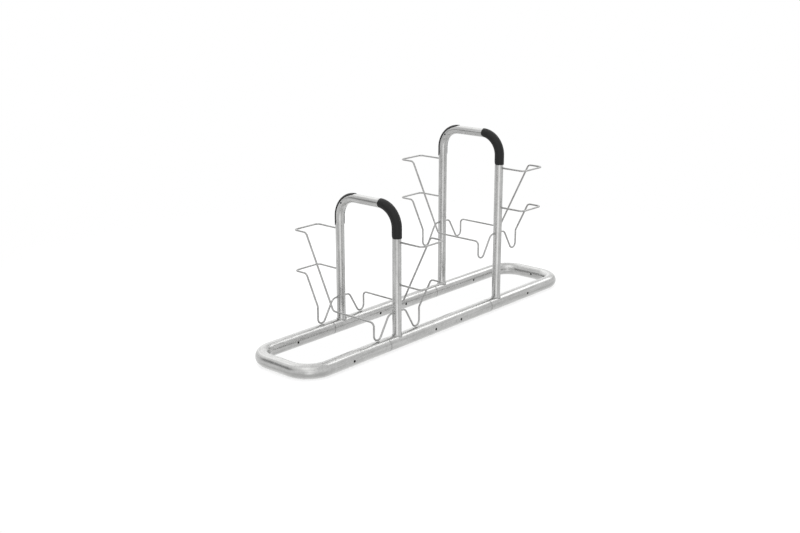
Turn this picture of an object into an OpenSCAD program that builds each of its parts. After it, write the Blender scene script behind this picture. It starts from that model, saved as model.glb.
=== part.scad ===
/* [Base ring] */
// Length of the base over its two end tubes
base_length = 2238; // [2000:2:2800]
// Distance between the centre lines of the two rails, and of the legs that stand on them
rail_spacing = 410; // [400:1:560]
// Outside diameter of the base tube
rail_diameter = 76.1; // [60.3:0.1:88.9]
// Wall thickness of the base tube
rail_wall = 3.2; // [2:0.1:6]
// Radius of the base corners, to the centre line of the tube
corner_bend = 126; // [110:1:180]
// How far the butt welds in the base tube lie to the left of each hoop's middle
weld_shift = 83.5; // [60:0.5:120]

/* [Cross holes] */
// Diameter of the holes that go sideways through the rails
cross_hole_diameter = 14; // [8:0.5:18]
// Distance between the two holes of a pair, along a rail
cross_hole_spacing = 640; // [500:5:680]
// Distance between the middles of the two pairs, along a rail
cross_hole_pair_spacing = 860; // [820:2:960]
// How far the four holes of a rail lie to the left of its middle
cross_hole_shift = 45.5; // [0:0.5:60]
// Diameter of the vent hole in the inner side of the right end tube
vent_hole_diameter = 12; // [6:0.5:14]
// How far the vent hole lies from the middle of the right end tube, towards the near rail
vent_hole_shift = 29; // [0:1:50]

/* [Hoops] */
// Distance between the two hoops
hoop_spacing = 868; // [800:2:1000]
// Height of the low hoop above the ground, over its top bar
low_hoop_height = 789; // [740:1:900]
// How much higher the high hoop and its wheel holders stand
tier_rise = 258; // [120:1:400]
// Outside diameter of the hoop tube
hoop_diameter = 48.3; // [42.4:0.1:50]
// Wall thickness of the hoop tube
hoop_wall = 3.2; // [2:0.1:5]
// Radius of the hoop bends, to the centre line of the tube
hoop_bend = 115; // [100:1:150]

/* [Wheel holders] */
// Diameter of the holder wire
wire_diameter = 10; // [6:0.5:12]
// Distance from the hoop's plane to the guard wires' plane
guard_offset = 178; // [150:1:220]
// How far the end loops reach past the leg, between centre lines
loop_reach = 171; // [125:1:200]
// Height of the long wire's loop on the low hoop
long_loop_height = 580; // [500:1:590]
// Height of the short wire's loop on the low hoop
short_loop_height = 352; // [300:1:400]
// Height of the knees at the lower ends of the slanted guards on the low hoop
knee_height = 184; // [150:1:200]
// Distance from the hoop's middle to the long wire's knee
long_knee_reach = 88; // [60:1:120]
// Lean of the slanted guards from upright, in degrees
guard_lean = 26.2; // [15:0.1:30]
// Height at which the trough wires meet the legs of the low hoop
trough_seat_height = 201; // [190:1:230]
// Length of a trough wire's level end, from the leg's tube to where it would turn down sharply
trough_level_length = 39; // [30:1:50]
// Gap between a trough of the low hoop and the rail under it
trough_clearance = 2.5; // [1:0.5:20]
// Radius of the trough bends, to the centre line of the wire
trough_bend = 28; // [18:1:32]
// Radius of the bends between a trough's slope and its level end
trough_top_bend = 38; // [15:1:45]
// Radius of the loop corners, to the centre line of the wire
loop_bend = 24; // [12:1:30]
// Radius of the bends at the ends of the slanted guards
guard_bend = 24; // [15:1:32]

/* [Bend covers] */
// Wall thickness of a cover
cover_wall = 2.8; // [2:0.1:5]
// How far a cover wraps round the inner side of the bend, in degrees from its front
cover_wrap_inner = 38; // [30:1:80]
// How far a cover wraps round the outer side of the leg, in degrees from its front
cover_wrap_outer = 159; // [140:1:165]
// How far it still wraps round the outer side at its upper end, in degrees from its front
cover_wrap_end = 125; // [115:1:135]
// Length of a cover down the leg, below the bend
cover_leg_length = 51; // [25:1:60]
// How far a cover reaches round the bend from the leg, in degrees
cover_bend_angle = 89; // [75:1:90]
// Radius of a cover's corners
cover_corner = 22; // [4:1:24]
// Diameter of the screw that holds a cover
screw_diameter = 6; // [4:0.5:6]
// Diameter of the boss inside a cover that takes the screw
boss_diameter = 12; // [10:0.5:14]
// Length of the boss beyond the inner face of the tube wall
boss_length = 5; // [3:0.5:8]
// Diameter of the screw's head
screw_head_diameter = 9; // [8:0.5:12]
// Height of the screw's head
screw_head_height = 3.5; // [3:0.1:5]

/* [Fits] */
// Gap between pieces that are welded or that seat on a round tube
seat_gap = 0.2; // [0.1:0.05:0.3]
// Radial clearance of the boss and the screw in the tube's holes
hole_clearance = 0.3; // [0.2:0.05:0.5]
// Radial clearance of the screw in its boss
boss_clearance = 0.1; // [0.05:0.01:0.2]

/* [Hidden] */
$fn = 48;
rail_r = rail_diameter / 2;
hoop_r = hoop_diameter / 2;
wire_r = wire_diameter / 2;
leg_y = rail_spacing / 2;
end_x = base_length / 2 - rail_r;
low_x = -hoop_spacing / 2;
high_x = hoop_spacing / 2;
// the butt welds between the left end tube and the rails, and between the rails and the right end tube
left_weld_x = low_x - weld_shift;
right_weld_x = high_x - weld_shift;
low_bar_z = low_hoop_height - hoop_r;
loop_y = leg_y + loop_reach;
// the trough wire's centre line runs this high at its lowest point, on the low hoop
trough_z = rail_diameter + trough_clearance + wire_r;
// the trough wire would turn sharply this far from the middle of the leg, if it had no bend there
trough_top_reach = hoop_r + trough_level_length;
// more than any cut needs to pass right through
through = 1;
// a collar, where a wire's straight meets a bend, stands this far out of it and is this long
collar_height = 0.02;
collar_length = 0.4;
// the rounding of a cover's corner starts this far past the two edges that it joins
corner_overrun = 0.3;
// the hexagonal socket in a screw's head, and the radius of the head's dome
socket_width = 0.45 * screw_head_diameter;
socket_depth = 0.6 * screw_head_height;
head_dome_r = 0.75 * screw_head_diameter;
// the screw's hole in the boss ends inside the cover's wall, this far outside the tube
boss_hole_end = seat_gap + cover_wall / 4;

// Bent tubes and wires

function unit(v) = v / norm(v);

function heading(points, i) = unit(points[i + 1] - points[i]);

// how far the path turns at an inner point, in degrees
function turn(points, i) = acos(heading(points, i - 1) * heading(points, i));

// length of straight that the bend at an inner point takes up on each side of it
function setback(points, bends, i) =
    i == 0 || i == len(points) - 1 ? 0 : bends[i - 1] * tan(turn(points, i) / 2);

// from an inner point towards the inside of its bend, square to the way that comes in
function inside(points, i) =
    let (before = heading(points, i - 1), after = heading(points, i))
    unit(after - (after * before) * before);

// how far the plane of the next bend is turned about the path from the plane of the bend at i
function roll(points, i) =
    let (before = heading(points, i - 1),
         x = inside(points, i) * cos(turn(points, i)) - before * sin(turn(points, i)),
         y = cross(before, inside(points, i)),
         next = inside(points, i + 1))
    atan2(next * y, next * x);

// puts the children's x, y and z axes along three directions, at a point
module at_frame(x, y, z, origin)
    multmatrix([
        [x[0], y[0], z[0], origin[0]],
        [x[1], y[1], z[1], origin[1]],
        [x[2], y[2], z[2], origin[2]],
        [0, 0, 0, 1]])
        children();

// carries the children, a round outline, along the straight that leaves point i and round the bend
// that ends it, then goes on from there: z is the way ahead and x is the inside of the next bend.
// collar is the radius of a ring, too thin to see, that joins each straight to its bends, or 0 for none
module run_on(points, bends, i, collar) {
    straight = norm(points[i + 1] - points[i]) - setback(points, bends, i) - setback(points, bends, i + 1);
    linear_extrude(height = straight)
        children();
    if (collar > 0 && i > 0)
        cylinder(h = collar_length, r = collar, center = true);
    if (i + 2 < len(points)) {
        if (collar > 0)
            translate([0, 0, straight])
                cylinder(h = collar_length, r = collar, center = true);
        bend = bends[i];
        angle = turn(points, i + 1);
        translate([bend, 0, straight]) {
            rotate([90, 0, 180])
                rotate_extrude(angle = angle)
                    translate([bend, 0])
                        children();
            rotate([0, angle, 0])
                translate([-bend, 0, 0])
                    rotate([0, 0, i + 3 < len(points) ? roll(points, i + 1) : 0])
                        run_on(points, bends, i + 1, collar)
                            children();
        }
    }
}

// carries the children, a round outline, along points with one bend radius at each inner point
module bent_run(points, bends, collar = 0) {
    z = heading(points, 0);
    x = inside(points, 1);
    at_frame(x, cross(z, x), z, points[0])
        run_on(points, bends, 0, collar)
            children();
}

module tube_outline(radius, wall)
    difference() {
        circle(radius);
        circle(radius - wall);
    }

// Base ring

// each hole is drilled in one line through both long sides of the ring
module cross_holes() {
    drill = rail_spacing + rail_diameter + 2 * through;
    for (pair = [-1, 1], way = [-1, 1])
        translate([
                pair * cross_hole_pair_spacing / 2 + way * cross_hole_spacing / 2 - cross_hole_shift,
                0,
                rail_r])
            rotate([90, 0, 0])
                cylinder(h = drill, d = cross_hole_diameter, center = true);
}

// side is -1 for the near rail and 1 for the far one
module rail(side)
    color("silver")
        difference() {
            translate([left_weld_x, side * leg_y, rail_r])
                rotate([0, 90, 0])
                    linear_extrude(height = right_weld_x - left_weld_x)
                        tube_outline(rail_r, rail_wall);
            cross_holes();
        }

// from the butt weld of the near rail round the ring's end, which is at outer_x, to that of the far one
module end_tube(weld_x, outer_x)
    difference() {
        bent_run([
                [weld_x, -leg_y, rail_r],
                [outer_x, -leg_y, rail_r],
                [outer_x, leg_y, rail_r],
                [weld_x, leg_y, rail_r]],
            [corner_bend, corner_bend])
            tube_outline(rail_r, rail_wall);
        cross_holes();
    }

module left_end_tube()
    color("silver")
        end_tube(left_weld_x, -end_x);

module right_end_tube()
    color("silver")
        difference() {
            end_tube(right_weld_x, end_x);
            translate([end_x - rail_r - through, -vent_hole_shift, rail_r])
                rotate([0, 90, 0])
                    cylinder(h = rail_r, d = vent_hole_diameter);
        }

// Hoops

// a bend's own frame, for the near bend of a hoop whose top bar's centre line is at bar_z:
// the origin is the bend's centre, x points out past the leg, y points up and z points to the front
module near_bend_frame(hoop_x, bar_z)
    at_frame([0, -1, 0], [0, 0, 1], [-1, 0, 0], [hoop_x, -leg_y + hoop_bend, bar_z - hoop_bend])
        children();

// the far bend is the near one, turned half a turn about the hoop's upright middle line
module far_bend_frame(hoop_x, bar_z)
    at_frame([0, 1, 0], [0, 0, 1], [1, 0, 0], [hoop_x, leg_y - hoop_bend, bar_z - hoop_bend])
        children();

// in a bend's frame, the place of the screw: the middle of the bend, with z to the front
module screw_place()
    rotate([0, 0, 45])
        translate([hoop_bend, 0, 0])
            children();

module cover_holes()
    screw_place() {
        cylinder(h = hoop_r + through, d = boss_diameter + 2 * hole_clearance);
        mirror([0, 0, 1])
            cylinder(h = hoop_r + through, d = screw_diameter + 2 * hole_clearance);
    }

module hoop(hoop_x, bar_z)
    color("silver")
        difference() {
            bent_run([
                    [hoop_x, -leg_y, rail_r],
                    [hoop_x, -leg_y, bar_z],
                    [hoop_x, leg_y, bar_z],
                    [hoop_x, leg_y, rail_r]],
                [hoop_bend, hoop_bend])
                tube_outline(hoop_r, hoop_wall);
            for (side = [-1, 1])
                translate([hoop_x, side * leg_y, rail_r])
                    rotate([0, 90, 0])
                        cylinder(h = 2 * hoop_diameter, r = rail_r + seat_gap, center = true);
            near_bend_frame(hoop_x, bar_z) cover_holes();
            far_bend_frame(hoop_x, bar_z) cover_holes();
        }

// Wheel holders, drawn for the left side of a hoop whose middle line is at x = 0

// height at which the two sides of a trough would meet if its bend were sharp
function trough_corner_z() =
    let (seat = [-trough_top_reach, trough_seat_height],
         centre = [-guard_offset + trough_bend, trough_z + trough_bend],
         way = centre - seat,
         slope = atan2(way[1], way[0]) + asin(trough_bend / norm(way)))
    seat[1] + tan(slope) * (-guard_offset - seat[0]);

// the guard leans, so its upper end lies further out than its knee
function guard_top_y(knee_y, loop_z) = knee_y + (loop_z - knee_height) * tan(guard_lean);

// from the far leg round the loop, down the guard, along the low run and through the near trough
long_points = [
    [0, leg_y, long_loop_height],
    [0, loop_y, long_loop_height],
    [-guard_offset, loop_y, long_loop_height],
    [-guard_offset, guard_top_y(long_knee_reach, long_loop_height), long_loop_height],
    [-guard_offset, long_knee_reach, knee_height],
    [-guard_offset, -leg_y, knee_height],
    [-guard_offset, -leg_y, trough_corner_z()],
    [-trough_top_reach, -leg_y, trough_seat_height],
    [0, -leg_y, trough_seat_height]];
long_bends = [loop_bend, loop_bend, guard_bend, guard_bend, guard_bend, trough_bend, trough_top_bend];

// from the far leg round the loop, down the guard and through the far trough
short_points = [
    [0, leg_y, short_loop_height],
    [0, loop_y, short_loop_height],
    [-guard_offset, loop_y, short_loop_height],
    [-guard_offset, guard_top_y(leg_y, short_loop_height), short_loop_height],
    [-guard_offset, leg_y, knee_height],
    [-guard_offset, leg_y, trough_corner_z()],
    [-trough_top_reach, leg_y, trough_seat_height],
    [0, leg_y, trough_seat_height]];
short_bends = [loop_bend, loop_bend, guard_bend, guard_bend, trough_bend, trough_top_bend];

// one wire on a hoop, turned half a turn for the right side, with its ends cut to fit the legs
module holder_wire(points, bends, hoop_x, rise, right_side)
    color("silver")
        translate([hoop_x, 0, rise])
            rotate([0, 0, right_side ? 180 : 0])
                difference() {
                    bent_run(points, bends, wire_r + collar_height)
                        circle(wire_r);
                    for (side = [-1, 1])
                        translate([0, side * leg_y, 0])
                            cylinder(h = low_hoop_height, r = hoop_r + seat_gap);
                }

module long_wire(hoop_x, rise, right_side)
    holder_wire(long_points, long_bends, hoop_x, rise, right_side);

module short_wire(hoop_x, rise, right_side)
    holder_wire(short_points, short_bends, hoop_x, rise, right_side);

// Bend covers, drawn in a bend's frame

cover_inner_r = hoop_r + seat_gap;
cover_outer_r = cover_inner_r + cover_wall;
cover_middle_r = cover_inner_r + cover_wall / 2;

// a point at an angle from the front, towards the outer side of the bend
function round_front(angle, radius) = [radius * sin(angle), radius * cos(angle)];

// the back edge of a cover, seen from behind: straight up the leg at this x, then an arc that starts
// level with the bend's centre and ends where the cover does
leg_edge_x = hoop_bend + cover_middle_r * sin(cover_wrap_outer);
edge_end_reach = hoop_bend + cover_middle_r * sin(cover_wrap_end);
edge_end = edge_end_reach * [cos(cover_bend_angle), sin(cover_bend_angle)];
edge_drop = leg_edge_x - edge_end[0];
edge_arc = (edge_drop * edge_drop + edge_end[1] * edge_end[1]) / (2 * edge_drop);
edge_centre_x = leg_edge_x - edge_arc;

// distance from the bend's centre to the back edge, at an angle round the bend from the leg
function edge_reach(angle) =
    edge_centre_x * cos(angle) + sqrt(edge_arc * edge_arc - pow(edge_centre_x * sin(angle), 2));

// how far the cover wraps round the outer side where the rounding of its upper corner starts
function upper_corner_wrap() =
    let (angle = cover_bend_angle - cover_corner / (hoop_bend + cover_middle_r) * 180 / PI)
    180 - asin((edge_reach(angle) - hoop_bend) / cover_middle_r);

// the inner lip bends away from the upper end by this much over the length of a corner
function lip_drift() =
    let (lip_reach = hoop_bend - cover_middle_r * sin(cover_wrap_inner))
    cos(cover_wrap_inner) * cover_corner * cover_corner / (2 * lip_reach);

// the open side of the cover's outline, from the very back round the inner side to the lip
module open_side() {
    open_angle = 180 - cover_wrap_inner;
    steps = 4;
    polygon([[0, 0],
        for (i = [0:steps])
            round_front(180 + open_angle * i / steps, 2 * cover_outer_r)]);
}

module cover_outline()
    difference() {
        circle(cover_outer_r);
        circle(cover_inner_r);
        open_side();
    }

// rounds a corner of the cover at its end at y = 0, with the cover above it. The edge lies at wrap
// degrees from the front, and where the rounding starts it has moved on by drift. way is 1 on the
// outer side and -1 on the inner
module end_corner(wrap, way, drift) {
    block = cover_outer_r + through;
    centre_x = way * (drift + corner_overrun - cover_corner);
    rotate([0, wrap, 0])
        difference() {
            translate([way > 0 ? centre_x : -block, -through, 0])
                cube([block - way * centre_x, cover_corner + through, block]);
            translate([centre_x, cover_corner - corner_overrun, -through])
                cylinder(h = block + 2 * through, r = cover_corner);
        }
}

module cover_leg()
    difference() {
        translate([hoop_bend, 0, 0])
            rotate([90, 0, 0])
                linear_extrude(height = cover_leg_length)
                    cover_outline();
        translate([0, -cover_leg_length - through, -cover_outer_r - through])
            cube([leg_edge_x, cover_leg_length + 2 * through, cover_outer_r + through]);
        translate([hoop_bend, -cover_leg_length, 0]) {
            end_corner(-cover_wrap_inner, -1, 0);
            end_corner(cover_wrap_outer, 1, 0);
        }
    }

module cover_bend()
    difference() {
        rotate_extrude(angle = cover_bend_angle)
            translate([hoop_bend, 0])
                cover_outline();
        translate([edge_centre_x, 0, -cover_outer_r - through])
            cylinder(h = cover_outer_r + through, r = edge_arc);
        rotate([0, 0, cover_bend_angle])
            translate([hoop_bend, 0, 0])
                mirror([0, 1, 0]) {
                    end_corner(-cover_wrap_inner, -1, lip_drift());
                    end_corner(upper_corner_wrap(), 1, 0);
                }
    }

module cover_shell() {
    cover_leg();
    cover_bend();
}

module cover()
    color("#26282a")
        difference() {
            union() {
                cover_shell();
                screw_place()
                    translate([0, 0, hoop_r - hoop_wall - boss_length])
                        cylinder(
                            h = hoop_wall + boss_length + seat_gap + cover_wall / 2,
                            d = boss_diameter);
            }
            screw_place()
                cylinder(h = hoop_r + boss_hole_end, r = screw_diameter / 2 + boss_clearance);
        }

// the screw's head seats on the bare side of the tube, and its shank ends in the cover's boss
module cover_screw()
    color("#303234")
        screw_place()
            difference() {
                union() {
                    translate([0, 0, -hoop_r - seat_gap])
                        cylinder(h = 2 * hoop_r + seat_gap, d = screw_diameter);
                    translate([0, 0, -hoop_r - seat_gap - screw_head_height])
                        intersection() {
                            cylinder(h = screw_head_height, d = screw_head_diameter);
                            translate([0, 0, head_dome_r])
                                sphere(head_dome_r);
                        }
                }
                translate([0, 0, -hoop_r - seat_gap - screw_head_height - through])
                    cylinder(h = socket_depth + through, d = socket_width, $fn = 6);
            }

module near_cover(hoop_x, bar_z)
    near_bend_frame(hoop_x, bar_z) cover();

module far_cover(hoop_x, bar_z)
    far_bend_frame(hoop_x, bar_z) cover();

module near_screw(hoop_x, bar_z)
    near_bend_frame(hoop_x, bar_z) cover_screw();

module far_screw(hoop_x, bar_z)
    far_bend_frame(hoop_x, bar_z) cover_screw();

// The rack

high_bar_z = low_bar_z + tier_rise;

rail(-1);  // near_rail
rail(1);  // far_rail
left_end_tube();
right_end_tube();
hoop(low_x, low_bar_z);  // low_hoop
hoop(high_x, high_bar_z);  // high_hoop
long_wire(low_x, 0, false);  // low_left_long_wire
short_wire(low_x, 0, false);  // low_left_short_wire
long_wire(low_x, 0, true);  // low_right_long_wire
short_wire(low_x, 0, true);  // low_right_short_wire
long_wire(high_x, tier_rise, false);  // high_left_long_wire
short_wire(high_x, tier_rise, false);  // high_left_short_wire
long_wire(high_x, tier_rise, true);  // high_right_long_wire
short_wire(high_x, tier_rise, true);  // high_right_short_wire
near_cover(low_x, low_bar_z);  // low_near_cover
far_cover(low_x, low_bar_z);  // low_far_cover
near_cover(high_x, high_bar_z);  // high_near_cover
far_cover(high_x, high_bar_z);  // high_far_cover
near_screw(low_x, low_bar_z);  // low_near_screw
far_screw(low_x, low_bar_z);  // low_far_screw
near_screw(high_x, high_bar_z);  // high_near_screw
far_screw(high_x, high_bar_z);  // high_far_screw
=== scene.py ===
"""Finishes, weld beads and studio for a galvanised two tier bike rack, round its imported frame."""

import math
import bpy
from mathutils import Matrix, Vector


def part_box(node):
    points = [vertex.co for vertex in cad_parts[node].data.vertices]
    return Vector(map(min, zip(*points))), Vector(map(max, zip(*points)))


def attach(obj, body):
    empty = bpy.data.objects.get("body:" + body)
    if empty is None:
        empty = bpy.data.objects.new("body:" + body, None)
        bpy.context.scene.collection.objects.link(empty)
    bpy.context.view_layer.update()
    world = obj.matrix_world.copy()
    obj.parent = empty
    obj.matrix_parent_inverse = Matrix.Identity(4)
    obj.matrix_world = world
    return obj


bl_info = {
    "name": "Two Tier Bike Rack",
    "version": (1, 0, 0),
    "blender": (4, 5, 0),
    "location": "View3D > Sidebar > Bike Rack",
    "description": "Finishes, weld beads and studio for a galvanised two tier bike rack",
    "category": "Object",
}

import bpy
import numpy as np
from bpy.props import FloatProperty, FloatVectorProperty, IntProperty, PointerProperty, StringProperty
from mathutils import Euler, Matrix

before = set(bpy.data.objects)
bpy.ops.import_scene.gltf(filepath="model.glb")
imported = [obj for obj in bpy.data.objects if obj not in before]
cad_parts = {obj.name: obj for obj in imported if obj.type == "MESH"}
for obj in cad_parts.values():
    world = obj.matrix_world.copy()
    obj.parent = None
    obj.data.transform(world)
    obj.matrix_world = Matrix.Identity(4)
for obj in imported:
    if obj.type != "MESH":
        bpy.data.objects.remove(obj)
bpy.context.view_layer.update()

TIERS = ("low", "high")
BASE_NODES = ("near_rail", "far_rail", "left_end_tube", "right_end_tube")
WIRE_NODES = tuple(f"{tier}_{side}_{length}_wire"
                   for tier in TIERS for side in ("left", "right") for length in ("long", "short"))
COVER_NODES = tuple(f"{tier}_{side}_cover" for tier in TIERS for side in ("near", "far"))
SCREW_NODES = tuple(f"{tier}_{side}_screw" for tier in TIERS for side in ("near", "far"))


# Sizes that the frame gives, in metres

def middle(node, axis):
    """The middle of a node's box along one axis."""
    low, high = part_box(node)
    return (low[axis] + high[axis]) / 2


def span(node, axis):
    """The width of a node's box along one axis."""
    low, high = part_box(node)
    return high[axis] - low[axis]


RAIL_RADIUS = span("near_rail", 2) / 2
LEG_Y = middle("far_rail", 1)
END_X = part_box("right_end_tube")[1].x - RAIL_RADIUS
BUTT_WELD_X = (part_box("near_rail")[0].x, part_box("near_rail")[1].x)
HOOP_RADIUS = span("low_hoop", 0) / 2
HOOP_X = {tier: middle(f"{tier}_hoop", 0) for tier in TIERS}
BAR_Z = {tier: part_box(f"{tier}_hoop")[1].z - HOOP_RADIUS for tier in TIERS}
TIER_RISE = {"low": 0.0, "high": BAR_Z["high"] - BAR_Z["low"]}


# Settings

class BikeRackSizes(bpy.types.PropertyGroup):
    """Sizes of the frame that its boxes don't give, and those of the weld beads."""
    corner_bend: FloatProperty(
        name="Base corner", description="Radius of the base corners, to the centre line",
        default=0.126, unit="LENGTH")
    hoop_bend: FloatProperty(
        name="Hoop bend", description="Radius of the hoop bends, to the centre line",
        default=0.115, unit="LENGTH")
    wire_radius: FloatProperty(
        name="Wire radius", description="Radius of the holder wires",
        default=0.005, unit="LENGTH")
    long_loop_height: FloatProperty(
        name="Long loop", description="Height of the long wires' ends on the low hoop",
        default=0.58, unit="LENGTH")
    short_loop_height: FloatProperty(
        name="Short loop", description="Height of the short wires' ends on the low hoop",
        default=0.352, unit="LENGTH")
    trough_seat_height: FloatProperty(
        name="Trough seat", description="Height of the trough ends on the low hoop",
        default=0.201, unit="LENGTH")
    foot_bead: FloatProperty(
        name="Foot weld", description="Leg length of the fillet weld round a hoop's foot",
        default=0.0042, unit="LENGTH")
    wire_bead: FloatProperty(
        name="Wire weld", description="Leg length of the fillet weld round a wire's end",
        default=0.0026, unit="LENGTH")
    ring_bead_width: FloatProperty(
        name="Butt weld width", description="Width of the butt welds in the base tube",
        default=0.009, unit="LENGTH")
    ring_bead_height: FloatProperty(
        name="Butt weld height", description="Height of the butt welds in the base tube",
        default=0.0009, unit="LENGTH")
    ripple_spacing: FloatProperty(
        name="Weld ripple", description="Distance between the ripples of a weld",
        default=0.0022, unit="LENGTH")


class BikeRackFinish(bpy.types.PropertyGroup):
    """Colours and grain of the finishes."""
    zinc: StringProperty(
        name="Zinc", description="Colour of the tubes' bright zinc, sRGB hex", default="bbbbba")
    zinc_dull: StringProperty(
        name="Dull zinc", description="Colour of the tubes' duller zinc, sRGB hex", default="a2a2a1")
    wire_zinc: StringProperty(
        name="Wire zinc", description="Colour of the bright zinc on wires and welds, sRGB hex",
        default="a9a9a8")
    wire_dull: StringProperty(
        name="Dull wire zinc", description="Colour of the duller zinc on wires and welds, sRGB hex",
        default="8f8f8e")
    plastic: StringProperty(
        name="Cover", description="Colour of the covers' plastic, sRGB hex", default="161616")
    plastic_rubbed: StringProperty(
        name="Rubbed cover", description="Colour of the plastic where it is rubbed, sRGB hex",
        default="232323")
    screw: StringProperty(
        name="Screw", description="Colour of the blackened screws, sRGB hex", default="1e1f20")
    screw_worn: StringProperty(
        name="Worn screw", description="Colour of the screws where they are worn, sRGB hex",
        default="55585a")
    spangle: FloatProperty(
        name="Spangle", description="Width of the zinc's crystals", default=0.011, unit="LENGTH")
    draw_line: FloatProperty(
        name="Draw line", description="Width of the lines along the drawn tube",
        default=0.009, unit="LENGTH")
    grain: FloatProperty(
        name="Cover grain", description="Width of the grain in the covers' plastic",
        default=0.0012, unit="LENGTH")


class BikeRackStage(bpy.types.PropertyGroup):
    """Camera and floor."""
    camera_place: FloatVectorProperty(
        name="Camera", description="Place of the camera",
        default=(-4.4699, -3.8025, 2.0297), size=3, subtype="TRANSLATION")
    azimuth: FloatProperty(
        name="Azimuth", description="Direction that the camera looks in, from +Y",
        default=math.radians(-48.47), subtype="ANGLE")
    elevation: FloatProperty(
        name="Elevation", description="How far the camera looks down",
        default=math.radians(16.31), subtype="ANGLE")
    roll: FloatProperty(
        name="Roll", description="Turn of the camera about the way it looks",
        default=math.radians(-0.055), subtype="ANGLE")
    shift: FloatVectorProperty(
        name="Shift", description="Shift of the picture, in widths of the sensor",
        default=(-0.00027, -0.00012), size=2, precision=5)
    focal_length: FloatProperty(
        name="Focal length", description="Focal length on a 36 mm sensor",
        default=49.0, unit="CAMERA")
    floor_radius: FloatProperty(
        name="Floor", description="Radius of the floor", default=3.2, unit="LENGTH")
    floor_steps: IntProperty(
        name="Floor steps", description="Steps round the floor's edge", default=96)


# Meshes

def grid_mesh(name, points, closed_u, closed_v):
    """A mesh on a grid of points, shape (rows, columns, 3), its rows or columns closed into rings."""
    rows, columns = points.shape[:2]
    i, j = np.meshgrid(np.arange(rows - (not closed_u)), np.arange(columns - (not closed_v)),
                       indexing="ij")
    k, m = (i + 1) % rows, (j + 1) % columns
    corners = [i * columns + j, k * columns + j, k * columns + m, i * columns + m]
    mesh = bpy.data.meshes.new(name)
    mesh.from_pydata(points.reshape(-1, 3).tolist(), [], np.stack(corners, -1).reshape(-1, 4).tolist())
    mesh.shade_smooth()
    return mesh


def turns(steps):
    """Angles that go once round, without the last one, which would meet the first."""
    return np.linspace(0, 2 * math.pi, steps, endpoint=False)


def linked(name, mesh):
    """An object with the mesh, in the scene."""
    made = bpy.data.objects.new(name, mesh)
    bpy.context.scene.collection.objects.link(made)
    return made


def joined(name, meshes, material):
    """One piece from several meshes, riding on the rack."""
    piece = linked(name, meshes[0])
    others = [linked(mesh.name, mesh) for mesh in meshes[1:]]
    with bpy.context.temp_override(active_object=piece, selected_editable_objects=[piece, *others]):
        bpy.ops.object.join()
    piece.data.materials.append(material)
    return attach(piece, "root")


# A fillet weld's ripples swell it by this share and are at least so many. Its face is an arc of so many
# points, raised to this power, and its back is sunk by this share of its size
FILLET_SWELL = 0.07
FILLET_RIPPLES = 6
FILLET_ARC = 7
FILLET_POWER = 1.25
FILLET_BACK = -0.25
# Points round a hoop's foot, a wire's end and the base tube
FOOT_STEPS = 192
WIRE_STEPS = 40
RING_STEPS = 144
# A butt weld's ripples lie so many times further apart and change its height by this share. It has so
# many points across, its inner side is this share as wide and lies this share of its height deep
RING_RIPPLE = 2
RING_SWELL = 0.1
RING_ACROSS = 9
RING_INNER = 0.8
RING_DEPTH = 0.5


def bead_mesh(name, path, along_a, along_b, size, spacing):
    """A fillet weld. At each point of a closed path, the bead is an arc from the point that lies size
    along one member to the point that lies size along the other, and its back is sunk in the joint.
    The size swells and shrinks as a sine of the way gone along the path, which gives the ripples."""
    step = np.linalg.norm(np.roll(path, -1, 0) - path, axis=1)
    way = np.concatenate([[0.0], np.cumsum(step)[:-1]])
    ripples = max(FILLET_RIPPLES, round(step.sum() / spacing))
    swell = size * (1 + FILLET_SWELL * np.sin(2 * math.pi * ripples * way / step.sum()))
    turn = np.linspace(0, math.pi / 2, FILLET_ARC)
    a = np.concatenate([np.cos(turn) ** FILLET_POWER, [FILLET_BACK]])
    b = np.concatenate([np.sin(turn) ** FILLET_POWER, [FILLET_BACK]])
    points = (path[:, None] + swell[:, None, None]
              * (along_a[:, None] * a[None, :, None] + along_b[:, None] * b[None, :, None]))
    return grid_mesh(name, points, True, True)


def over_surface(outward, normal):
    """The directions in a surface that come nearest to the outward ones."""
    flat = outward - (outward * normal).sum(1, keepdims=True) * normal
    return flat / np.linalg.norm(flat, axis=1, keepdims=True)


def foot_bead(x, y, sizes):
    """The weld round a leg's foot: the leg's circle, lifted on to the rail's round top, so the height is
    the rail's centre plus the root of its radius squared less the distance across it squared."""
    turn = turns(FOOT_STEPS)
    outward = np.stack([np.cos(turn), np.sin(turn), np.zeros_like(turn)], -1)
    across = HOOP_RADIUS * outward[:, 1]
    rise = np.sqrt(RAIL_RADIUS ** 2 - across ** 2)
    path = outward * HOOP_RADIUS + np.stack([turn * 0 + x, turn * 0 + y, RAIL_RADIUS + rise], -1)
    up = np.tile([0.0, 0.0, 1.0], (len(turn), 1))
    rail_normal = np.stack([turn * 0, across, rise], -1) / RAIL_RADIUS
    return bead_mesh("foot_weld", path, over_surface(outward, rail_normal), up,
                     sizes.foot_bead, sizes.ripple_spacing)


def wire_bead(leg, direction, height, sizes):
    """The weld round a wire's end on a leg: the wire's circle, pushed on to the leg's round, so the way
    from the leg's middle is the root of its radius squared less the distance across it squared."""
    turn = turns(WIRE_STEPS)
    ahead = np.array([*direction, 0.0])
    side = np.array([-ahead[1], ahead[0], 0.0])
    up = np.array([0.0, 0.0, 1.0])
    outward = np.cos(turn)[:, None] * side + np.sin(turn)[:, None] * up
    across = sizes.wire_radius * np.cos(turn)
    reach = np.sqrt(HOOP_RADIUS ** 2 - across ** 2)
    path = np.array([*leg, height]) + ahead * reach[:, None] + outward * sizes.wire_radius
    leg_normal = (ahead * reach[:, None] + side * across[:, None]) / HOOP_RADIUS
    return bead_mesh("wire_weld", path, over_surface(outward, leg_normal), np.tile(ahead, (len(turn), 1)),
                     sizes.wire_bead, sizes.ripple_spacing)


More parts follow.
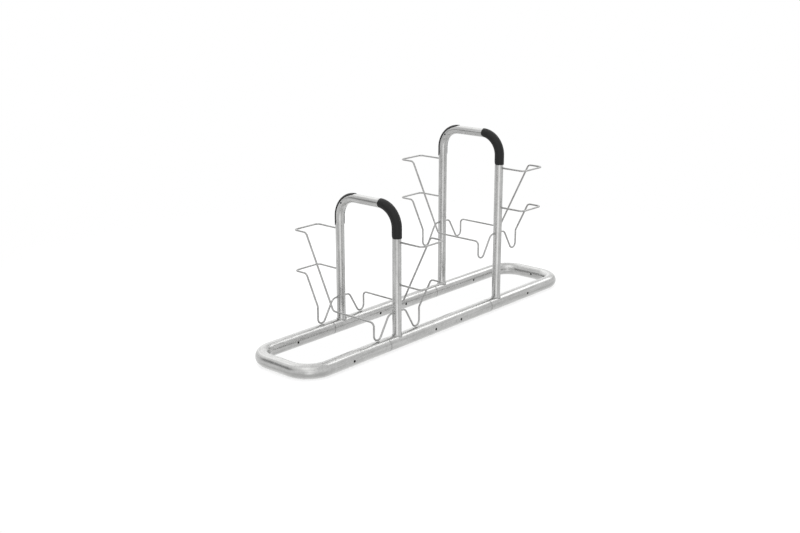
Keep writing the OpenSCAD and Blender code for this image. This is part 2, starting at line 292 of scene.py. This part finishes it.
def ring_bead(x, y, sizes):
    """The butt weld round the base tube, dressed down where the tube stands on the ground. Its height is
    the weld's height times the root of half of one plus the sine of the turn from level, so it is full
    on top and nothing below, and over its width it falls off as one less the square of the way out.
    Its inner side lies at one depth in the tube's wall."""
    turn = turns(RING_STEPS)
    outward = np.stack([np.zeros_like(turn), np.cos(turn), np.sin(turn)], -1)
    ripples = round(2 * math.pi * RAIL_RADIUS / (RING_RIPPLE * sizes.ripple_spacing))
    ripple = 1 + RING_SWELL * np.sin(turn * ripples)
    height = sizes.ring_bead_height * np.sqrt((1 + np.sin(turn)) / 2) * ripple
    over = np.linspace(-1, 1, RING_ACROSS)
    raised = height[:, None] * (1 - over ** 2)
    sunk = np.full((len(turn), 2), -RING_DEPTH * sizes.ring_bead_height)
    radius = RAIL_RADIUS + np.concatenate([raised, sunk], 1)
    over = np.concatenate([over, [RING_INNER, -RING_INNER]])
    points = (np.array([x, y, RAIL_RADIUS]) + outward[:, None] * radius[:, :, None]
              + np.array([1.0, 0.0, 0.0]) * over[None, :, None] * sizes.ring_bead_width / 2)
    return grid_mesh("ring_weld", points, True, True)


# Materials

WHITE = (1, 1, 1, 1)


def linear(hex_colour):
    """An sRGB hex colour as linear red, green, blue and alpha."""
    parts = [int(hex_colour[i:i + 2], 16) / 255 for i in (0, 2, 4)]
    return (*[p / 12.92 if p <= 0.04045 else ((p + 0.055) / 1.055) ** 2.4 for p in parts], 1.0)


def add(tree, kind, inputs=None, **settings):
    """Adds a node with its settings. Each input is a value, or a socket to link."""
    made = tree.nodes.new(kind)
    for name, value in settings.items():
        setattr(made, name, value)
    for name, value in (inputs or {}).items():
        if isinstance(value, bpy.types.NodeSocket):
            tree.links.new(value, made.inputs[name])
        else:
            made.inputs[name].default_value = value
    return made


def new_material(name):
    """A material with an empty node tree."""
    material = bpy.data.materials.new(name)
    material.use_nodes = True
    material.node_tree.nodes.clear()
    return material


def section_place(tree, across, up, side, half_sizes, bend):
    """Where a point lies in the section of a tube that is bent to a rounded rectangle: how far it is
    outside the centre line, and how far to its side. Outside is the length of the point's part past the
    corner's centre, plus its depth inside the straight sides, less the bend."""
    point = add(tree, "ShaderNodeCombineXYZ", {"X": across, "Y": up})
    q = add(tree, "ShaderNodeVectorMath", {0: point.outputs[0]}, operation="ABSOLUTE")
    q = add(tree, "ShaderNodeVectorMath",
            {0: q.outputs[0], 1: (half_sizes[0] - bend, half_sizes[1] - bend, 0)}, operation="SUBTRACT")
    past = add(tree, "ShaderNodeVectorMath", {0: q.outputs[0], 1: (0, 0, 0)}, operation="MAXIMUM")
    past = add(tree, "ShaderNodeVectorMath", {0: past.outputs[0]}, operation="LENGTH")
    parts = add(tree, "ShaderNodeSeparateXYZ", {0: q.outputs[0]})
    depth = add(tree, "ShaderNodeMath", {0: parts.outputs[0], 1: parts.outputs[1]}, operation="MAXIMUM")
    depth = add(tree, "ShaderNodeMath", {0: depth.outputs[0], 1: 0.0}, operation="MINIMUM")
    outside = add(tree, "ShaderNodeMath", {0: past.outputs["Value"], 1: depth.outputs[0]}, operation="ADD")
    outside = add(tree, "ShaderNodeMath", {0: outside.outputs[0], 1: bend}, operation="SUBTRACT")
    return add(tree, "ShaderNodeCombineXYZ", {"X": outside.outputs[0], "Y": side})


def ring_section(tree, place, ring):
    """Where a point lies in the section of a ring of bent tube."""
    axes = dict(zip("xyz", add(tree, "ShaderNodeSeparateXYZ", {0: place}).outputs))
    across, up = ring["plane"]
    return section_place(tree, axes[across], axes[up], axes[ring["side"]], ring["half_sizes"], ring["bend"])


def drawn_noise(tree, section, place, width, length):
    """Noise that is drawn out along a bent tube: it changes over a width in the tube's section and over
    a length in space."""
    fine = add(tree, "ShaderNodeVectorMath", {0: section.outputs[0], "Scale": 1 / width},
               operation="SCALE")
    slow = add(tree, "ShaderNodeVectorMath", {0: place, "Scale": 1 / length}, operation="SCALE")
    vector = add(tree, "ShaderNodeVectorMath", {0: fine.outputs[0], 1: slow.outputs[0]}, operation="ADD")
    return add(tree, "ShaderNodeTexNoise", {
        "Vector": vector.outputs[0], "Scale": 1.0, "Detail": 2.0, "Roughness": 0.5})


# Real sizes of the zinc's patterns, in metres. Where it ran, it is uneven over 18 mm. Along a tube its
# lines change over 625 mm and its patches over 111 mm, and a patch is two and a half lines wide. On wires
# and welds the lines are 8 mm wide and the patches 71 mm
MOTTLE_WIDTH = 1 / 55
LINE_LENGTH = 1 / 1.6
PATCH_LENGTH = 1 / 9
PATCH_LINES = 2.5
SHORT_LINE_WIDTH = 1 / 120
SHORT_PATCH_WIDTH = 1 / 14
# How much crystals, lines and patches add to the zinc's tone, and the sums that give its two colours
CRYSTAL_TONE = 0.18
LINE_TONE = 0.9
PATCH_TONE = 0.6
TONE_RANGE = (0.62, 1.06)
# The zinc's least roughness, and what the crystals and the mottle add to it
ZINC_ROUGHNESS = 0.17
CRYSTAL_ROUGHNESS = 0.04
MOTTLE_ROUGHNESS = 0.12
# How strongly the zinc's bumps show and how high they are, in metres
ZINC_BUMP = 0.16
ZINC_BUMP_HEIGHT = 0.0012


def zinc_material(name, finish, ring=None):
    """Hot-dip galvanised steel. The zinc freezes into flat crystals about a centimetre wide, which
    differ a little in grey and in gloss, over a surface that still shows the tube's drawn lines and
    is gently uneven where the zinc ran. The eye sees a bright, mottled, slightly blurred mirror.
    ring gives the shape of a bent tube, along which the lines run. Wires and welds have no ring, and
    their zinc is a little darker."""
    material = new_material(name)
    tree = material.node_tree
    place = add(tree, "ShaderNodeTexCoord").outputs["Object"]

    crystals = add(tree, "ShaderNodeTexVoronoi", {
        "Vector": place, "Scale": 1 / finish.spangle, "Randomness": 1.0})
    crystal = add(tree, "ShaderNodeSeparateColor", {0: crystals.outputs["Color"]}).outputs[0]
    mottle = add(tree, "ShaderNodeTexNoise", {
        "Vector": place, "Scale": 1 / MOTTLE_WIDTH, "Detail": 2.0, "Roughness": 0.55})
    if ring:
        section = ring_section(tree, place, ring)
        lines = drawn_noise(tree, section, place, finish.draw_line, LINE_LENGTH)
        patches = drawn_noise(tree, section, place, PATCH_LINES * finish.draw_line, PATCH_LENGTH)
        dull, bright = finish.zinc_dull, finish.zinc
    else:
        lines = add(tree, "ShaderNodeTexNoise", {
            "Vector": place, "Scale": 1 / SHORT_LINE_WIDTH, "Detail": 2.0})
        patches = add(tree, "ShaderNodeTexNoise", {
            "Vector": place, "Scale": 1 / SHORT_PATCH_WIDTH, "Detail": 3.0, "Roughness": 0.6})
        dull, bright = finish.wire_dull, finish.wire_zinc

    tone = add(tree, "ShaderNodeMath", {0: crystal, 1: CRYSTAL_TONE}, operation="MULTIPLY")
    tone = add(tree, "ShaderNodeMath", {0: lines.outputs["Fac"], 1: LINE_TONE, 2: tone.outputs[0]},
               operation="MULTIPLY_ADD")
    tone = add(tree, "ShaderNodeMath", {0: patches.outputs["Fac"], 1: PATCH_TONE, 2: tone.outputs[0]},
               operation="MULTIPLY_ADD")
    tone = add(tree, "ShaderNodeMapRange", {
        0: tone.outputs[0], "From Min": TONE_RANGE[0], "From Max": TONE_RANGE[1]})
    colour = add(tree, "ShaderNodeMix", {0: tone.outputs[0], 6: linear(dull), 7: linear(bright)},
                 data_type="RGBA")
    rough = add(tree, "ShaderNodeMath", {0: crystal, 1: CRYSTAL_ROUGHNESS, 2: ZINC_ROUGHNESS},
                operation="MULTIPLY_ADD")
    rough = add(tree, "ShaderNodeMath", {
        0: mottle.outputs["Fac"], 1: MOTTLE_ROUGHNESS, 2: rough.outputs[0]}, operation="MULTIPLY_ADD")
    height = add(tree, "ShaderNodeMath", {0: mottle.outputs["Fac"], 1: lines.outputs["Fac"]},
                 operation="ADD")
    bump = add(tree, "ShaderNodeBump", {
        "Height": height.outputs[0], "Strength": ZINC_BUMP, "Distance": ZINC_BUMP_HEIGHT})
    surface = add(tree, "ShaderNodeBsdfPrincipled", {
        "Base Color": colour.outputs[2], "Metallic": 1.0, "Roughness": rough.outputs[0],
        "Normal": bump.outputs[0]})
    add(tree, "ShaderNodeOutputMaterial", {"Surface": surface.outputs[0]})
    return material


# The covers are rubbed over 45 mm, in metres, where the noise lies in this range, up to this share of the
# paler colour. Their least roughness, what the rubbing adds to it and their index of refraction are those
# of such plastic, and their gloss is matched to the photograph. Last come how strongly the grain shows
# and its height, in metres
RUBBED_WIDTH = 1 / 22
RUBBED_RANGE = (0.45, 0.8)
RUBBED_SHARE = 0.35
PLASTIC_ROUGHNESS = 0.42
RUBBED_ROUGHNESS = 0.2
PLASTIC_IOR = 1.5
PLASTIC_GLOSS = 0.23
GRAIN_BUMP = 0.25
GRAIN_HEIGHT = 0.0003


def plastic_material(finish):
    """Black moulded plastic with a fine spark-eroded grain, a little paler where it is rubbed. The
    grain breaks up the gloss, so that the eye sees soft wide highlights."""
    material = new_material("moulded_black_plastic")
    tree = material.node_tree
    place = add(tree, "ShaderNodeTexCoord").outputs["Object"]
    grain = add(tree, "ShaderNodeTexNoise", {"Vector": place, "Scale": 1 / finish.grain, "Detail": 2.0})
    rubbed = add(tree, "ShaderNodeTexNoise", {
        "Vector": place, "Scale": 1 / RUBBED_WIDTH, "Detail": 4.0, "Roughness": 0.6})
    pale = add(tree, "ShaderNodeMapRange", {
        0: rubbed.outputs["Fac"], "From Min": RUBBED_RANGE[0], "From Max": RUBBED_RANGE[1],
        "To Min": 0.0, "To Max": RUBBED_SHARE})
    colour = add(tree, "ShaderNodeMix", {
        0: pale.outputs[0], 6: linear(finish.plastic), 7: linear(finish.plastic_rubbed)}, data_type="RGBA")
    rough = add(tree, "ShaderNodeMath", {
        0: rubbed.outputs["Fac"], 1: RUBBED_ROUGHNESS, 2: PLASTIC_ROUGHNESS}, operation="MULTIPLY_ADD")
    bump = add(tree, "ShaderNodeBump", {
        "Height": grain.outputs["Fac"], "Strength": GRAIN_BUMP, "Distance": GRAIN_HEIGHT})
    surface = add(tree, "ShaderNodeBsdfPrincipled", {
        "Base Color": colour.outputs[2], "Roughness": rough.outputs[0], "IOR": PLASTIC_IOR,
        "Specular IOR Level": PLASTIC_GLOSS, "Normal": bump.outputs[0]})
    add(tree, "ShaderNodeOutputMaterial", {"Surface": surface.outputs[0]})
    return material


# The screws are worn over 1.1 mm, in metres, where the noise lies in this range. Then come how metallic
# and how rough the steel looks under its film
WORN_WIDTH = 1 / 900
WORN_RANGE = (0.55, 0.75)
SCREW_METALLIC = 0.8
SCREW_ROUGHNESS = 0.42


def screw_material(finish):
    """Blackened steel: a thin dark oxide film, oiled, that is worn a little through in small scattered
    spots.
    """
    material = new_material("blackened_steel")
    tree = material.node_tree
    place = add(tree, "ShaderNodeTexCoord").outputs["Object"]
    wear = add(tree, "ShaderNodeTexNoise", {"Vector": place, "Scale": 1 / WORN_WIDTH, "Detail": 3.0})
    pale = add(tree, "ShaderNodeMapRange", {
        0: wear.outputs["Fac"], "From Min": WORN_RANGE[0], "From Max": WORN_RANGE[1]})
    colour = add(tree, "ShaderNodeMix", {
        0: pale.outputs[0], 6: linear(finish.screw), 7: linear(finish.screw_worn)}, data_type="RGBA")
    surface = add(tree, "ShaderNodeBsdfPrincipled", {
        "Base Color": colour.outputs[2], "Metallic": SCREW_METALLIC, "Roughness": SCREW_ROUGHNESS})
    add(tree, "ShaderNodeOutputMaterial", {"Surface": surface.outputs[0]})
    return material


# The floor's grey for the light that it throws back. Of what the camera sees of it outside the ring, the
# first part takes the rack's shadow and the second is lifted. It is whole up to the first share of its
# radius and gone at the second
PAPER = 0.8
SHADED = 0.3
LIFTED = 0.73
FLOOR_FADE = (0.5, 0.98)


def floor_material(radius, ring):
    """White paper, lit by the room. What the camera sees of it is lifted to white, so that only the
    rack's shadow shows, and that only outside the base ring, as in a cut-out picture. Reflections look
    through it into the room's lower half, which is as white. It runs out to nothing at its edge."""
    material = new_material("white_floor")
    tree = material.node_tree
    place = add(tree, "ShaderNodeTexCoord").outputs["Object"]
    outside = add(tree, "ShaderNodeSeparateXYZ", {0: ring_section(tree, place, ring).outputs[0]})
    outside = add(tree, "ShaderNodeMath", {0: outside.outputs[0], 1: 0.0}, operation="GREATER_THAN")
    reach = add(tree, "ShaderNodeVectorMath", {0: place}, operation="LENGTH").outputs["Value"]
    edge = add(tree, "ShaderNodeMapRange", {
        0: reach, "From Min": radius * FLOOR_FADE[0], "From Max": radius * FLOOR_FADE[1]},
        interpolation_type="SMOOTHSTEP").outputs[0]
    path = add(tree, "ShaderNodeLightPath")
    mirrored = add(tree, "ShaderNodeMath", {
        0: path.outputs["Is Glossy Ray"], 1: path.outputs["Is Transmission Ray"]}, operation="ADD")
    clear = add(tree, "ShaderNodeMath", {0: mirrored.outputs[0], 1: edge}, operation="ADD", use_clamp=True)
    paper = add(tree, "ShaderNodeBsdfDiffuse", {"Color": (PAPER, PAPER, PAPER, 1)})
    shade = add(tree, "ShaderNodeBsdfDiffuse", {"Color": (SHADED, SHADED, SHADED, 1)})
    lift = add(tree, "ShaderNodeEmission", {"Color": WHITE, "Strength": LIFTED})
    shaded = add(tree, "ShaderNodeAddShader", {0: shade.outputs[0], 1: lift.outputs[0]})
    white = add(tree, "ShaderNodeEmission", {"Color": WHITE, "Strength": 1.0})
    seen = add(tree, "ShaderNodeMixShader", {
        0: outside.outputs[0], 1: white.outputs[0], 2: shaded.outputs[0]})
    shown = add(tree, "ShaderNodeMixShader", {
        0: path.outputs["Is Camera Ray"], 1: paper.outputs[0], 2: seen.outputs[0]})
    nothing = add(tree, "ShaderNodeBsdfTransparent")
    surface = add(tree, "ShaderNodeMixShader", {
        0: clear.outputs[0], 1: shown.outputs[0], 2: nothing.outputs[0]})
    add(tree, "ShaderNodeOutputMaterial", {"Surface": surface.outputs[0]})
    return material


# The middle of the studio's black flag and half its width, in metres, its height as a share of its width,
# the share of its half width within which it is whole, the points along a side, and how bright it looks
FLAG_PLACE = (-3.3, 2.0, 1.25)
FLAG_HALF = 2.4
FLAG_ASPECT = 0.5
FLAG_WHOLE = 0.2
FLAG_STEPS = 5
FLAG_LIGHT = 0.30


def flag_material():
    """Black cloth, whose edges fade out as those of a shadow would. Only reflections show it."""
    material = new_material("black_flag")
    tree = material.node_tree
    place = add(tree, "ShaderNodeTexCoord").outputs["Object"]
    away = add(tree, "ShaderNodeVectorMath", {0: place, 1: FLAG_PLACE}, operation="SUBTRACT")
    away = add(tree, "ShaderNodeVectorMath", {0: away.outputs[0], 1: (1, 1, 1 / FLAG_ASPECT)},
               operation="MULTIPLY")
    reach = add(tree, "ShaderNodeVectorMath", {0: away.outputs[0]}, operation="LENGTH").outputs["Value"]
    edge = add(tree, "ShaderNodeMapRange", {
        0: reach, "From Min": FLAG_HALF * FLAG_WHOLE, "From Max": FLAG_HALF},
        interpolation_type="SMOOTHSTEP").outputs[0]
    cloth = add(tree, "ShaderNodeEmission", {"Color": WHITE, "Strength": FLAG_LIGHT})
    nothing = add(tree, "ShaderNodeBsdfTransparent")
    surface = add(tree, "ShaderNodeMixShader", {0: edge, 1: cloth.outputs[0], 2: nothing.outputs[0]})
    add(tree, "ShaderNodeOutputMaterial", {"Surface": surface.outputs[0]})
    return material


# Operators

def dress(names, material):
    """Gives CAD nodes a material."""
    for name in names:
        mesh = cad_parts[name].data
        mesh.materials.clear()
        mesh.materials.append(material)


def base_ring():
    """The shape of the base ring's centre line, for what runs along it."""
    return {"plane": "xy", "side": "z", "half_sizes": (END_X, LEG_Y),
            "bend": bpy.context.scene.rack_sizes.corner_bend}


class BIKERACK_OT_base(bpy.types.Operator):
    """Gives the rails and the end tubes their galvanised finish"""
    bl_idname = "bikerack.base"
    bl_label = "Base Ring"

    def execute(self, context):
        dress(BASE_NODES, zinc_material("galvanised_base_tube", context.scene.rack_finish, base_ring()))
        return {"FINISHED"}


class BIKERACK_OT_hoops(bpy.types.Operator):
    """Gives the two hoops their galvanised finish"""
    bl_idname = "bikerack.hoops"
    bl_label = "Hoops"

    def execute(self, context):
        scene = context.scene
        for tier in TIERS:
            ring = {"plane": "yz", "side": "x", "half_sizes": (LEG_Y, BAR_Z[tier]),
                    "bend": scene.rack_sizes.hoop_bend}
            dress([f"{tier}_hoop"], zinc_material(f"galvanised_{tier}_hoop_tube", scene.rack_finish, ring))
        return {"FINISHED"}


class BIKERACK_OT_wires(bpy.types.Operator):
    """Gives the wheel holders their galvanised finish"""
    bl_idname = "bikerack.wires"
    bl_label = "Wheel Holders"

    def execute(self, context):
        dress(WIRE_NODES, zinc_material("galvanised_wire", context.scene.rack_finish))
        return {"FINISHED"}


class BIKERACK_OT_covers(bpy.types.Operator):
    """Gives the bend covers and their screws their black finishes"""
    bl_idname = "bikerack.covers"
    bl_label = "Bend Covers"

    def execute(self, context):
        finish = context.scene.rack_finish
        dress(COVER_NODES, plastic_material(finish))
        dress(SCREW_NODES, screw_material(finish))
        return {"FINISHED"}


class BIKERACK_OT_welds(bpy.types.Operator):
    """Adds the weld beads in the base ring, at the hoops' feet and at the wires' ends"""
    bl_idname = "bikerack.welds"
    bl_label = "Welds"

    def execute(self, context):
        sizes = context.scene.rack_sizes
        material = zinc_material("galvanised_weld", context.scene.rack_finish)
        rings = [ring_bead(x, y, sizes) for x in BUTT_WELD_X for y in (-LEG_Y, LEG_Y)]
        joined("butt_welds", rings, material)
        for tier in TIERS:
            x, rise = HOOP_X[tier], TIER_RISE[tier]
            feet = [foot_bead(x, y, sizes) for y in (-LEG_Y, LEG_Y)]
            joined(f"{tier}_foot_welds", feet, material)
            ends = []
            for side in (1, -1):
                for height in (sizes.long_loop_height, sizes.short_loop_height):
                    ends.append(wire_bead((x, side * LEG_Y), (0, side), height + rise, sizes))
                for y in (-LEG_Y, LEG_Y):
                    ends.append(wire_bead((x, y), (-side, 0), sizes.trough_seat_height + rise, sizes))
            joined(f"{tier}_wire_welds", ends, material)
        return {"FINISHED"}


class BIKERACK_OT_stage(bpy.types.Operator):
    """Adds the floor, the room's soft light and the camera"""
    bl_idname = "bikerack.stage"
    bl_label = "Stage"

    def execute(self, context):
        stage = context.scene.rack_stage
        add_floor(stage)
        add_flag()
        add_world()
        add_camera(context.scene, stage)
        context.scene.view_settings.view_transform = "Standard"
        return {"FINISHED"}


# Rings of points from the floor's middle to its edge
FLOOR_RINGS = 12


def add_floor(stage):
    """The floor is a disc: rings of points whose distance from the middle grows evenly."""
    turn = turns(stage.floor_steps)
    distance = np.linspace(0, 1, FLOOR_RINGS)[:, None] * stage.floor_radius
    points = np.stack([distance * np.cos(turn), distance * np.sin(turn), distance * turn * 0], -1)
    floor = linked("floor", grid_mesh("floor", points, False, True))
    floor.data.materials.append(floor_material(stage.floor_radius, base_ring()))


def add_flag():
    """An upright sheet that faces the rack, for the dark side that the photographed tubes mirror."""
    across = np.array([FLAG_PLACE[1], -FLAG_PLACE[0], 0.0])
    across /= np.linalg.norm(across)
    steps = np.linspace(-FLAG_HALF, FLAG_HALF, FLAG_STEPS)
    points = (np.array(FLAG_PLACE) + steps[:, None, None] * across
              + steps[None, :, None] * np.array([0.0, 0.0, FLAG_ASPECT]))
    flag = linked("black_flag", grid_mesh("black_flag", points, False, False))
    flag.data.materials.append(flag_material())
    flag.visible_camera = flag.visible_diffuse = flag.visible_shadow = False


# The studio's soft lights, as directions seen from the rack: azimuth from +Y towards +X, elevation and
# half width, all in degrees, and how much light each adds to that of the room's walls
ROOM_LIGHTS = (
    (48, 8, 17, 0.40),
    (96, 43, 9, 3.00),
    (20, 42, 20, 1.05),
    (-138, -16, 11, 1.05),
    (-138, 20, 13, 0.60),
    (-122, 60, 20, 1.15),
    (30, -48, 35, 0.20),
)
WALL_LIGHT = 1.03


def add_world():
    """A white room. Each light is the exponential of a factor times the cosine between its own direction
    and the way looked in, less one, which makes a soft round patch. The camera sees plain white."""
    world = bpy.data.worlds.new("studio")
    bpy.context.scene.world = world
    world.use_nodes = True
    tree = world.node_tree
    tree.nodes.clear()
    direction = add(tree, "ShaderNodeTexCoord").outputs["Generated"]
    room = WALL_LIGHT
    for azimuth, elevation, half_width, strength in ROOM_LIGHTS:
        a, e = math.radians(azimuth), math.radians(elevation)
        centre = (math.sin(a) * math.cos(e), math.cos(a) * math.cos(e), math.sin(e))
        factor = math.log(2) / (1 - math.cos(math.radians(half_width)))
        cosine = add(tree, "ShaderNodeVectorMath", {0: direction, 1: centre}, operation="DOT_PRODUCT")
        power = add(tree, "ShaderNodeMath", {0: cosine.outputs["Value"], 1: factor, 2: -factor},
                    operation="MULTIPLY_ADD")
        patch = add(tree, "ShaderNodeMath", {0: power.outputs[0]}, operation="EXPONENT")
        room = add(tree, "ShaderNodeMath", {0: patch.outputs[0], 1: strength, 2: room},
                   operation="MULTIPLY_ADD").outputs[0]
    shown = add(tree, "ShaderNodeBackground", {"Color": WHITE, "Strength": 1.0})
    lit = add(tree, "ShaderNodeBackground", {"Color": WHITE, "Strength": room})
    path = add(tree, "ShaderNodeLightPath")
    surface = add(tree, "ShaderNodeMixShader", {
        0: path.outputs["Is Camera Ray"], 1: lit.outputs[0], 2: shown.outputs[0]})
    add(tree, "ShaderNodeOutputWorld", {"Surface": surface.outputs[0]})


# The width of the camera's sensor, in millimetres, and how far it sees, in metres
SENSOR_WIDTH = 36
CLIP_END = 200


def add_camera(scene, stage):
    """The camera, placed by a fit to the rack's edges in the photograph."""
    data = bpy.data.cameras.new("camera")
    data.sensor_width = SENSOR_WIDTH
    data.lens = stage.focal_length
    data.clip_end = CLIP_END
    camera = bpy.data.objects.new("camera", data)
    scene.collection.objects.link(camera)
    camera.location = stage.camera_place
    aim = Euler((math.pi / 2 - stage.elevation, 0, stage.azimuth)).to_matrix()
    camera.rotation_euler = (aim @ Matrix.Rotation(stage.roll, 3, "Z")).to_euler()
    data.shift_x, data.shift_y = stage.shift
    scene.camera = camera


class BIKERACK_PT_panel(bpy.types.Panel):
    """Lists the rack's steps and settings"""
    bl_idname = "BIKERACK_PT_panel"
    bl_label = "Bike Rack"
    bl_space_type = "VIEW_3D"
    bl_region_type = "UI"
    bl_category = "Bike Rack"

    def draw(self, context):
        """Shows a button for each step and a box for each group of settings."""
        scene = context.scene
        for step in STEPS:
            self.layout.operator(step.bl_idname)
        for group in (scene.rack_sizes, scene.rack_finish, scene.rack_stage):
            box = self.layout.box()
            for name in group.__annotations__:
                box.prop(group, name)


STEPS = (BIKERACK_OT_base, BIKERACK_OT_hoops, BIKERACK_OT_wires, BIKERACK_OT_covers, BIKERACK_OT_welds,
         BIKERACK_OT_stage)
GROUPS = {"rack_sizes": BikeRackSizes, "rack_finish": BikeRackFinish, "rack_stage": BikeRackStage}


def register():
    """Makes the settings, steps and panel known."""
    for cls in (*GROUPS.values(), *STEPS, BIKERACK_PT_panel):
        bpy.utils.register_class(cls)
    for name, group in GROUPS.items():
        setattr(bpy.types.Scene, name, PointerProperty(type=group))


def unregister():
    """Takes them away again."""
    for name in GROUPS:
        delattr(bpy.types.Scene, name)
    for cls in (BIKERACK_PT_panel, *reversed(STEPS), *GROUPS.values()):
        bpy.utils.unregister_class(cls)


def main():
    """Builds the scene: makes the steps known and runs each of them."""
    register()
    bpy.ops.bikerack.base()
    bpy.ops.bikerack.hoops()
    bpy.ops.bikerack.wires()
    bpy.ops.bikerack.covers()
    bpy.ops.bikerack.welds()
    bpy.ops.bikerack.stage()


if __name__ == "__main__":
    main()
